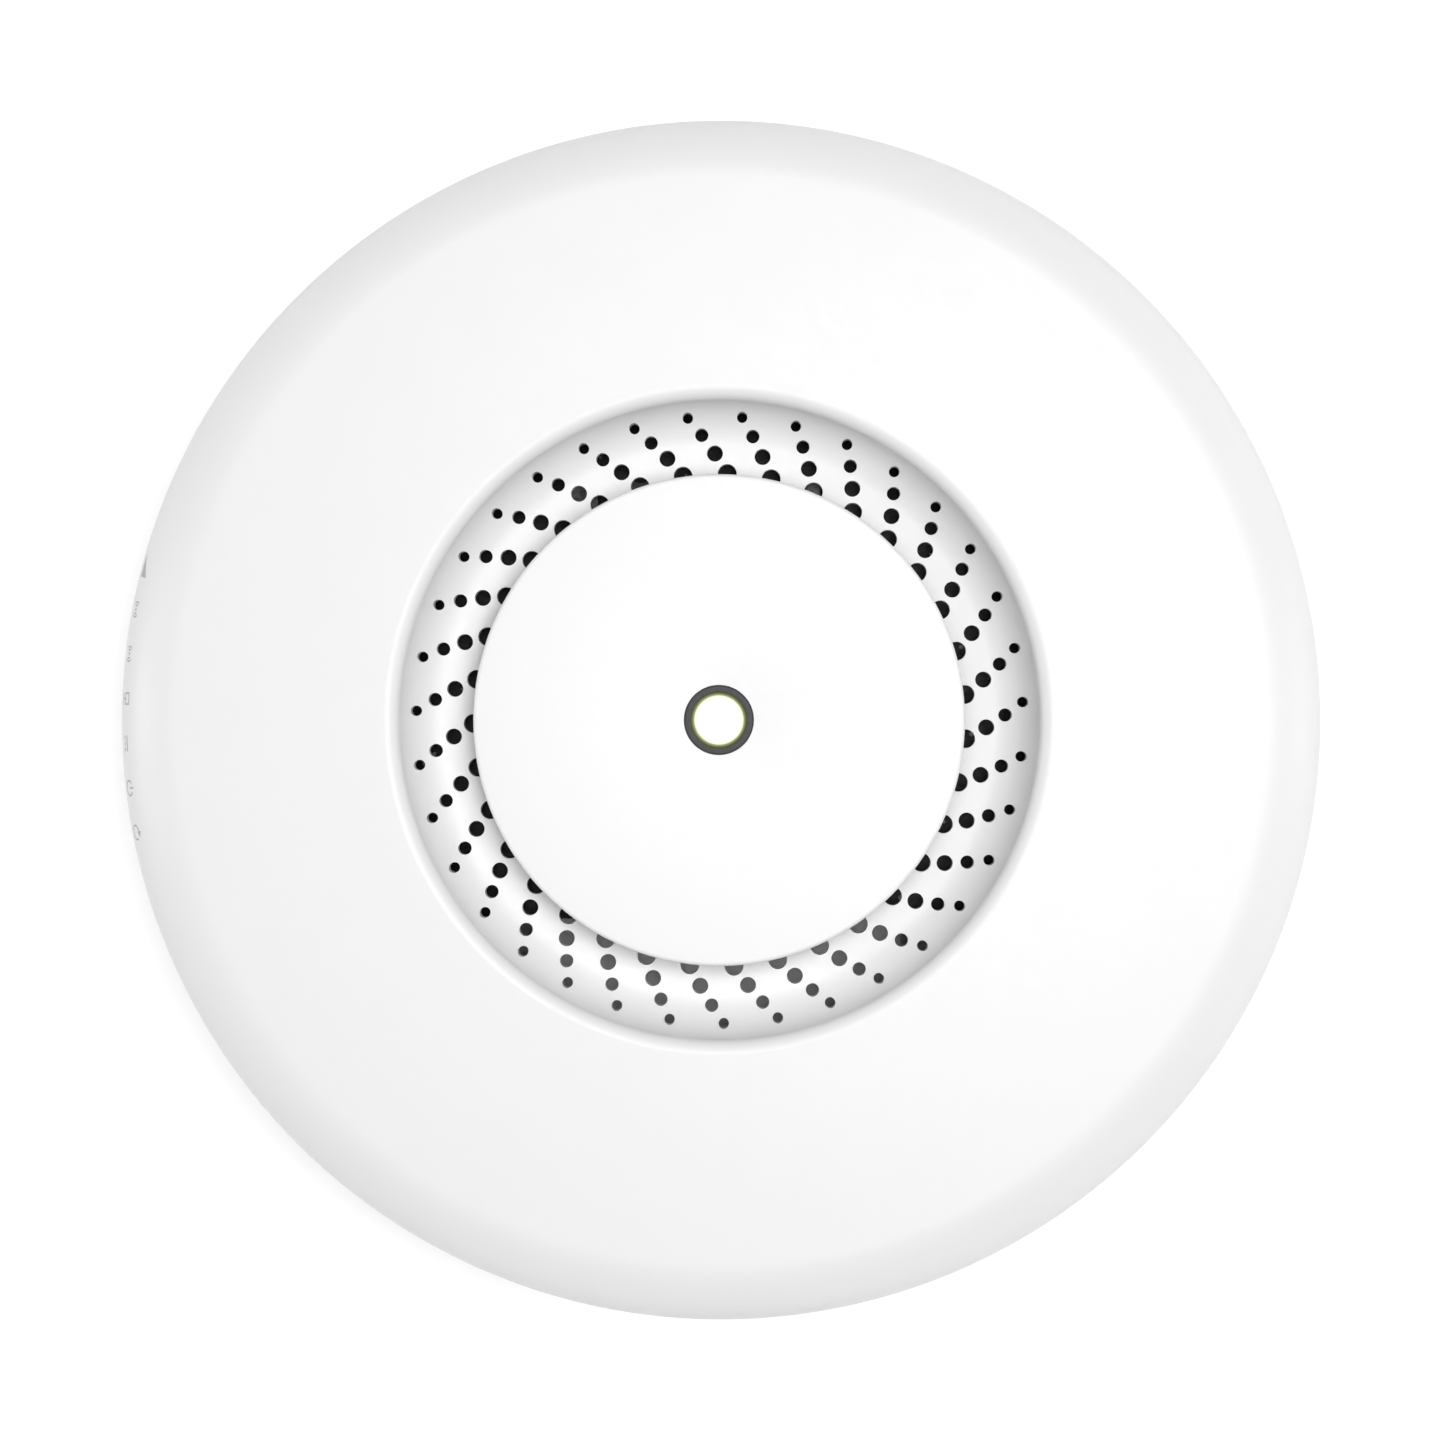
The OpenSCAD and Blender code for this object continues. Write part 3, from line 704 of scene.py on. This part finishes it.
ICON_ANGLE = math.radians(29.5)                # where the icons' middle lies on the edge rounding
ICON_LIFT = 0.012
ICON_SINK = -0.05
ICON_SLICE = 0.25
ICON_SLICES = range(-8, 9)                     # they reach past the largest icon on both sides


def stroke(radius, start, end, width):
    """Arc of a given line width, angles in degrees."""
    steps = max(4, int((end - start) / 12))
    inner = arc((0, 0), radius - width / 2, start, end, steps)
    return arc((0, 0), radius + width / 2, start, end, steps) + inner[::-1]


def wave_icon(dot):
    waves = [stroke(radius, side - 42, side + 42, 0.26)
             for side in (0, 180) for radius in (0.7, 1.2)]
    return waves + [circle(dot, 12)]


ICONS = [
    [[(-1.9, -1.15), (1.9, -1.15), (1.9, 1.15)]],
    wave_icon(0.28),
    wave_icon(0.28),
    [bar(0, 1.2, 2.0, 0.28), bar(0, -0.1, 2.0, 0.28), bar(-0.86, 0.55, 0.28, 1.5),
     bar(0.86, 0.55, 0.28, 1.5), bar(0, -0.6, 0.28, 1.1), bar(0, -1.15, 2.1, 0.3)],
    [bar(0, 0.5, 2.5, 0.34)] + [bar(x, -0.4, 0.62, 0.34) for x in (-0.94, 0, 0.94)],
    [stroke(1.2, 125, 415, 0.3), bar(0, 0.85, 0.3, 1.3)],
    [stroke(1.15, 90, 385, 0.28), [(-0.1, 1.75), (-0.1, 0.6), (0.85, 1.17)]],
]


def lay_on_edge(point, direction):
    """Bends a point of a flat icon on to the edge rounding, in millimetres."""
    up = ICON_ANGLE + point.y / EDGE_R
    out = EDGE_R + point.z
    radius = EDGE_C[0] + out * math.cos(up)
    turn = direction + point.x / (EDGE_C[0] + EDGE_R * math.cos(up))
    return Vector((radius * math.cos(turn), radius * math.sin(turn), EDGE_Z + out * math.sin(up)))


def make_icon(i):
    icon = joined(f"rim_icon_{i + 1}", [prism(ICONS[i][0], ICON_SINK, ICON_LIFT)])
    for polygon in ICONS[i][1:]:
        combine(icon, joined("more", [prism(polygon, ICON_SINK, ICON_LIFT)]), "UNION")
    bm = bmesh.new()
    bm.from_mesh(icon.data)
    for axis in ((1, 0, 0), (0, 1, 0)):
        for k in ICON_SLICES:
            geometry = bm.verts[:] + bm.edges[:] + bm.faces[:]
            bmesh.ops.bisect_plane(bm, geom=geometry, plane_no=axis, dist=1e-7,
                                   plane_co=Vector(axis) * k * ICON_SLICE * MM)
    for v in bm.verts:
        v.co = lay_on_edge(v.co / MM, light_direction(i)) * MM
    bmesh.ops.recalc_face_normals(bm, faces=bm.faces)
    bm.to_mesh(icon.data)
    bm.free()
    shade(icon)
    return icon


# ---- materials --------------------------------------------------------------------------------

class Shader:
    """A node material under construction. Sizes are in millimetres on the part."""

    def __init__(self, name, **constants):
        self.material = bpy.data.materials.new(name)
        self.material.use_nodes = True
        self.tree = self.material.node_tree
        self.bsdf = self.tree.nodes["Principled BSDF"]
        self.place = self.add("ShaderNodeTexCoord").outputs["Object"]
        for key, value in constants.items():
            self.bsdf.inputs[key.replace("_", " ")].default_value = value

    def add(self, kind, **settings):
        node = self.tree.nodes.new(kind)
        for key, value in settings.items():
            setattr(node, key, value)
        return node

    def link(self, a, b):
        self.tree.links.new(a, b)

    def noise(self, size, detail=3.0, roughness=0.5, stretch=None):
        """Noise from 0 to 1 whose features are about size across."""
        node = self.add("ShaderNodeTexNoise")
        node.inputs["Scale"].default_value = 1 / (size * MM)
        node.inputs["Detail"].default_value = detail
        node.inputs["Roughness"].default_value = roughness
        source = self.place
        if stretch:
            mapping = self.add("ShaderNodeMapping")
            mapping.inputs["Scale"].default_value = stretch
            self.link(source, mapping.inputs["Vector"])
            source = mapping.outputs["Vector"]
        self.link(source, node.inputs["Vector"])
        return node.outputs["Fac"]

    def cells(self, size, feature="F1", output="Distance"):
        node = self.add("ShaderNodeTexVoronoi", feature=feature)
        node.inputs["Scale"].default_value = 1 / (size * MM)
        self.link(self.place, node.inputs["Vector"])
        return node.outputs[output]

    def from_axis(self):
        """Distance from the Z axis, in millimetres."""
        flat = self.add("ShaderNodeVectorMath", operation="MULTIPLY")
        flat.inputs[1].default_value = (1 / MM, 1 / MM, 0)
        self.link(self.place, flat.inputs[0])
        length = self.add("ShaderNodeVectorMath", operation="LENGTH")
        self.link(flat.outputs["Vector"], length.inputs[0])
        return length.outputs["Value"]

    def between(self, value, low, high, out_low, out_high):
        node = self.add("ShaderNodeMapRange")
        for key, number in (("From Min", low), ("From Max", high), ("To Min", out_low),
                            ("To Max", out_high)):
            node.inputs[key].default_value = number
        self.link(value, node.inputs["Value"])
        return node.outputs["Result"]

    def blend(self, factor, a, b):
        """Colour from a at 0 to b at 1. Each is a colour or another output."""
        node = self.add("ShaderNodeMix", data_type="RGBA")
        self.link(factor, node.inputs[0])
        for socket, colour in ((node.inputs[6], a), (node.inputs[7], b)):
            if isinstance(colour, bpy.types.NodeSocket):
                self.link(colour, socket)
            else:
                socket.default_value = (*colour, 1)
        return node.outputs[2]

    def colour(self, output):
        self.link(output, self.bsdf.inputs["Base Color"])

    def rough(self, centre, spread, size):
        """Roughness that varies about a centre in patches of a size."""
        varied = self.between(self.noise(size), 0.3, 0.7, centre - spread, centre + spread)
        self.link(varied, self.bsdf.inputs["Roughness"])

    def bump(self, height, depth):
        """Relief of a depth in millimetres, on top of any before it."""
        node = self.add("ShaderNodeBump")
        node.inputs["Strength"].default_value = 1.0
        node.inputs["Distance"].default_value = depth * MM
        self.link(height, node.inputs["Height"])
        normal = self.bsdf.inputs["Normal"]
        if normal.is_linked:
            self.link(normal.links[0].from_socket, node.inputs["Normal"])
        self.link(node.outputs["Normal"], normal)


def tone(colour, factor):
    return tuple(min(1.0, c * factor) for c in colour)


def moulded(name, colour, grain=0.3, depth=0.006, roughness=0.5, mottle=0.01, **constants):
    """Injection-moulded plastic: fine eroded grain, faint flow mottling, uneven gloss."""
    s = Shader(name, **constants)
    s.colour(s.blend(s.noise(9, 4), tone(colour, 1 - mottle), tone(colour, 1 + mottle)))
    s.rough(roughness, 0.05, 1.4)
    s.bump(s.noise(grain, 2, 0.6), depth)
    s.bump(s.noise(25, 1), 0.01)
    return s.material


def smooth_plastic(name, colour, roughness=0.3):
    """Polished plastic with faint flow lines and uneven gloss."""
    s = Shader(name)
    s.colour(s.blend(s.noise(6), tone(colour, 0.96), tone(colour, 1.04)))
    s.rough(roughness, 0.06, 0.8)
    s.bump(s.noise(4, 2), 0.006)
    return s.material


def sheet_metal(name, colour, roughness=0.3, brush=(1, 14, 14), depth=0.003):
    """Rolled and plated sheet: brushed streaks and cloudy plating."""
    s = Shader(name, Metallic=1.0)
    streak = s.noise(0.9, 5, 0.6, brush)
    s.colour(s.blend(s.noise(3, 4), tone(colour, 0.88), tone(colour, 1.05)))
    varied = s.between(streak, 0.3, 0.7, roughness - 0.1, roughness + 0.12)
    s.link(varied, s.bsdf.inputs["Roughness"])
    s.bump(streak, depth)
    return s.material


def circuit_board():
    """Dark solder mask over copper tracks, with a scatter of plated vias."""
    s = Shader("board_mask", Specular_IOR_Level=0.15)
    tracks = s.add("ShaderNodeTexBrick", offset=0.35, squash=0.7)
    tracks.inputs["Scale"].default_value = 1 / (6 * MM)
    tracks.inputs["Mortar Size"].default_value = 0.03
    s.link(s.place, tracks.inputs["Vector"])
    mask = s.blend(tracks.outputs["Fac"], (0.004, 0.006, 0.0055), (0.008, 0.012, 0.011))
    via = s.between(s.cells(3.4), 0.1, 0.13, 1, 0)
    s.colour(s.blend(via, mask, (0.35, 0.33, 0.28)))
    s.rough(0.35, 0.07, 1)
    s.bump(tracks.outputs["Fac"], 0.03)
    return s.material


def clear_guide():
    """Clear moulded acrylic with faint flow ripples."""
    s = Shader("light_guide_clear", Transmission_Weight=0.6, IOR=1.49)
    s.colour(s.blend(s.noise(5), (0.9, 0.94, 0.94), (0.97, 0.99, 0.99)))
    s.rough(0.18, 0.06, 1)
    s.bump(s.noise(2, 2), 0.01)
    return s.material


def lamp_lens():
    """Milky lit lens, white with a lime rim."""
    s = Shader("lamp_lens_lit", Emission_Strength=1.0)
    s.colour(s.blend(s.noise(1.5), (0.28, 0.28, 0.27), (0.32, 0.32, 0.31)))
    rim = s.between(s.from_axis(), LENS_R - 0.5, LENS_R - 0.05, 0, 1)
    glow = s.blend(rim, (1.0, 1.0, 1.0), (0.54, 0.6, 0.3))
    s.link(glow, s.bsdf.inputs["Emission Color"])
    s.rough(0.3, 0.05, 0.7)
    s.bump(s.noise(0.5), 0.004)
    return s.material


def bezel_plastic():
    """Dark grey plastic with the lamp's olive spill painted round its bore: a painted olive tint in
    its colour and a painted glow in its emission.
    """
    s = Shader("bezel_dark", Emission_Strength=1.0, Specular_IOR_Level=0.12)
    plain = s.blend(s.noise(1.2), (0.052, 0.05, 0.055), (0.062, 0.06, 0.065))
    # Painted light: near the bore the colour turns olive, a painted tint of the lamp's light spilling
    # on to the bezel.
    near = s.between(s.from_axis(), LENS_R + 0.4, LENS_R + 0.9, 1, 0)
    s.colour(s.blend(near, plain, (0.05, 0.054, 0.024)))
    # Painted glow: the bezel itself gives off olive light round its bore, though it is no lamp.
    painted_spill = s.between(s.from_axis(), LENS_R, LENS_R + 0.6, 1, 0)
    painted_glow_falloff = s.add("ShaderNodeMath", operation="POWER")
    painted_glow_falloff.inputs[1].default_value = 2.0
    s.link(painted_spill, painted_glow_falloff.inputs[0])
    s.link(s.blend(painted_glow_falloff.outputs["Value"], (0, 0, 0), (0.4, 0.44, 0.2)),
           s.bsdf.inputs["Emission Color"])
    s.rough(0.42, 0.06, 0.7)
    s.bump(s.noise(0.25, 2), 0.004)
    return s.material


def printed_ink():
    """Pad-printed grey ink with slightly uneven cover."""
    s = Shader("icon_ink")
    s.colour(s.blend(s.noise(0.3), (0.33, 0.33, 0.33), (0.4, 0.4, 0.4)))
    s.rough(0.5, 0.08, 0.3)
    s.bump(s.noise(0.2, 2), 0.003)
    return s.material


MATERIALS = {
    "case_white": moulded("case_plastic", (0.73, 0.73, 0.728), roughness=0.42),
    "disc_white": moulded("disc_plastic", (0.74, 0.74, 0.738), 0.25, 0.003, 0.42, 0.006),
    "base_white": moulded("base_plastic", (0.76, 0.76, 0.755), 0.35, 0.01, 0.55, 0.015),
    "plate_white": moulded("plate_plastic", (0.74, 0.74, 0.73), 0.5, 0.012, 0.5, 0.02),
    "button_white": smooth_plastic("button_plastic", (0.8, 0.8, 0.79), 0.35),
    "bezel_grey": bezel_plastic(),
    "lens": lamp_lens(),
    "light_guide": clear_guide(),
    "label": moulded("label_film", (0.78, 0.78, 0.76), 1.2, 0.004, 0.38, 0.015),
    "board": circuit_board(),
    "chip_black": moulded("chip_epoxy", (0.03, 0.03, 0.032), 0.15, 0.01, 0.5, 0.15),
    "tin": sheet_metal("tinned_sheet", (0.72, 0.73, 0.74)),
    "heatsink_black": sheet_metal("anodised_black", (0.05, 0.05, 0.055), 0.42, (14, 1, 14), 0.006),
    "pad": moulded("silicone_pad", (0.42, 0.47, 0.55), 0.6, 0.02, 0.75, 0.05),
    "socket_black": moulded("socket_plastic", (0.035, 0.035, 0.036), 0.25, 0.01, 0.45, 0.1),
    "gold": sheet_metal("gold_plate", (0.85, 0.62, 0.25), 0.22, (1, 6, 1), 0.002),
    "ferrite": moulded("ferrite_epoxy", (0.09, 0.09, 0.1), 0.5, 0.03, 0.6, 0.2),
    "capacitor_sleeve": smooth_plastic("capacitor_film", (0.04, 0.05, 0.15), 0.25),
    "led_chip": smooth_plastic("led_epoxy", (0.85, 0.82, 0.6), 0.2),
    "screw_steel": sheet_metal("black_oxide", (0.11, 0.11, 0.113), 0.5, (3, 3, 12), 0.004),
}
INK = printed_ink()


def finish_with(obj, slot, material=None):
    obj.data.materials.clear()
    obj.data.materials.append(material or MATERIALS[slot])


for subpart in record["subparts"]:
    node = nodes[subpart["node"]]
    for material_slot in node.material_slots:
        material_slot.material = MATERIALS[subpart["material_slot"]]

for piece, node, slot, body in (
        (make_top_cover(), "top_cover", "case_white", "case"),
        (make_centre_disc(), "centre_disc", "disc_white", "case"),
        (make_bezel(), "led_bezel", "bezel_grey", "case"),
        (make_lens(), "led_lens", "lens", "case"),
        (make_base_shell(), "base_shell", "base_white", "case"),
        (make_mounting_plate(), "mounting_plate", "plate_white", "plate"),
        (make_reset_button(), "reset_button", "button_white", "reset_button")):
    finish_with(piece, slot)
    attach(piece, body)
    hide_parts(node)

for index in range(len(ICONS)):
    mark = make_icon(index)
    finish_with(mark, "bezel_grey", INK)
    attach(mark, "case")


# ---- stage, light and camera ------------------------------------------------------------------

STAGE_HALF = 6000.0                            # mm
STAGE_Z = -0.05                                # mm
FLOOR_GLOW = 0.26
WORLD_LOW = 0.6                                # strength at the horizon and below it
WORLD_HIGH = 0.1                               # strength from WORLD_FADE up
WORLD_FADE = 0.5                               # height of a direction of length 1

CAMERA_PLACE = (0.0074, 0.0, 0.5783)           # m
CAMERA_LENS = 86.17                            # mm
CAMERA_SENSOR = 36.0                           # mm

# Soft lights: name, place (m), size (m), power (W)
LIGHTS = (
    ("front", (0.05, 0.1, 1.4), (0.9, 0.9), 9.8),
    ("front_right", (0.4, 0.1, 1.4), (0.9, 0.9), 12.4),
    ("rim_left", (-0.8, 0.0, 0.06), (0.1, 1.0), 2.5),
    ("rim_right", (0.8, 0.0, 0.06), (0.1, 1.0), 1.3),
    ("rim_bottom", (0.0, -0.8, 0.06), (1.0, 0.1), 0.6),
)


def make_floor():
    """A white floor that can be seen only from above, so the part can be viewed from below."""
    corners = bar(0, 0, 2 * STAGE_HALF, 2 * STAGE_HALF)
    floor = mesh_object("floor", [(x, y, STAGE_Z) for x, y in corners], [[0, 1, 2, 3]])
    s = Shader("floor_white")
    s.colour(s.blend(s.noise(40), (0.8, 0.8, 0.8), (0.81, 0.81, 0.81)))
    s.bsdf.inputs["Roughness"].default_value = 1.0
    s.bsdf.inputs["Specular IOR Level"].default_value = 0.0
    s.bsdf.inputs["Emission Color"].default_value = (1, 1, 1, 1)
    s.bsdf.inputs["Emission Strength"].default_value = FLOOR_GLOW
    clear = s.add("ShaderNodeBsdfTransparent")
    sides = s.add("ShaderNodeMixShader")
    s.link(s.add("ShaderNodeNewGeometry").outputs["Backfacing"], sides.inputs["Fac"])
    s.link(s.bsdf.outputs["BSDF"], sides.inputs[1])
    s.link(clear.outputs["BSDF"], sides.inputs[2])
    s.link(sides.outputs["Shader"], s.tree.nodes["Material Output"].inputs["Surface"])
    floor.data.materials.append(s.material)


def make_light(name, place, size, power):
    lamp = bpy.data.lights.new(name, "AREA")
    lamp.shape = "RECTANGLE"
    lamp.size, lamp.size_y = size
    lamp.energy = power
    light = bpy.data.objects.new(name, lamp)
    light.location = place
    light.rotation_euler = Vector(place).to_track_quat("Z", "Y").to_euler()
    bpy.context.scene.collection.objects.link(light)


def make_world():
    """White light from all round, weaker from above."""
    world = bpy.data.worlds.new("studio")
    world.use_nodes = True
    bpy.context.scene.world = world
    tree = world.node_tree
    background = tree.nodes["Background"]
    direction = tree.nodes.new("ShaderNodeTexCoord")
    parts = tree.nodes.new("ShaderNodeSeparateXYZ")
    ramp = tree.nodes.new("ShaderNodeMapRange")
    ramp.inputs["From Max"].default_value = WORLD_FADE
    ramp.inputs["To Min"].default_value = WORLD_LOW
    ramp.inputs["To Max"].default_value = WORLD_HIGH
    tree.links.new(direction.outputs["Generated"], parts.inputs["Vector"])
    tree.links.new(parts.outputs["Z"], ramp.inputs["Value"])
    tree.links.new(ramp.outputs["Result"], background.inputs["Strength"])
    background.inputs["Color"].default_value = (1, 1, 1, 1)


def make_camera():
    """The photo's view, almost straight down, with +Y up in the picture."""
    data = bpy.data.cameras.new("photo_camera")
    camera = bpy.data.objects.new("photo_camera", data)
    place = Vector(CAMERA_PLACE)
    aim = Vector((0.0, 0.0, EDGE_Z * MM))
    data.lens = CAMERA_LENS
    data.sensor_width = CAMERA_SENSOR
    back = (place - aim).normalized()
    right = Vector((0, 1, 0)).cross(back).normalized()
    turn = Matrix((right, back.cross(right), back)).transposed()
    camera.matrix_world = Matrix.Translation(place) @ turn.to_4x4()
    bpy.context.scene.collection.objects.link(camera)
    bpy.context.scene.camera = camera


make_floor()
for light_row in LIGHTS:
    make_light(*light_row)
make_world()
make_camera()
bpy.context.scene.view_settings.view_transform = "Standard"
